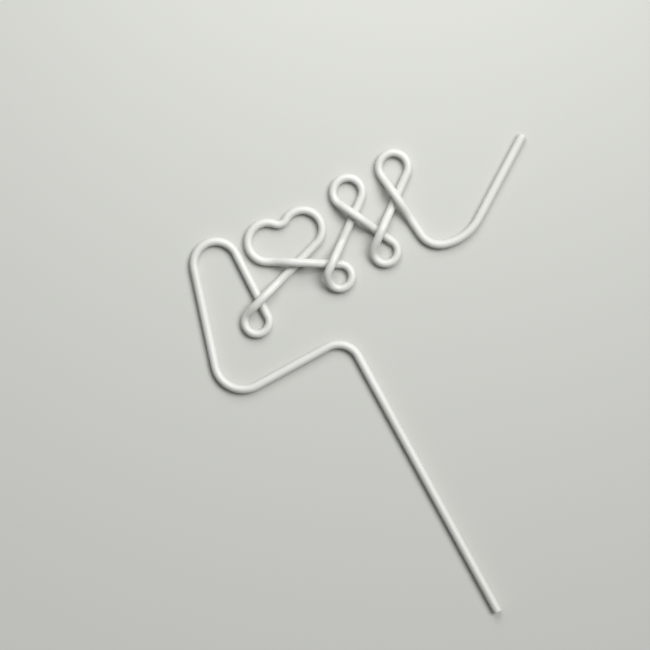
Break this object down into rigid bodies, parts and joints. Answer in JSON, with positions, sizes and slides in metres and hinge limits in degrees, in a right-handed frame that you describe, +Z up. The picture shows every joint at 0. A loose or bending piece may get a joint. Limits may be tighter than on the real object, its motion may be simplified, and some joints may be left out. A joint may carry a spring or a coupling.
{
  "type": "looped drinking straw",
  "caption": "One-piece plastic drinking straw with a long straight leg, bent into an arch, a heart and a row of rings and loops that ends in an upswept mouth end.",
  "frame": {"origin": "the middle of the straw's footprint, on the floor that it lies on", "axes": "+Y along the straight leg from its cut foot to the loops, +Z up from the floor, +X from the leg towards the mouth end"},
  "size_m": [0.2384, 0.2865, 0.0123],
  "materials": {
    "straw_plastic": "smooth soft-white plastic with a soft gloss"
  },
  "bodies": {
    "root": {"straw_tube": "straw_plastic"}
  },
  "joints": []
}
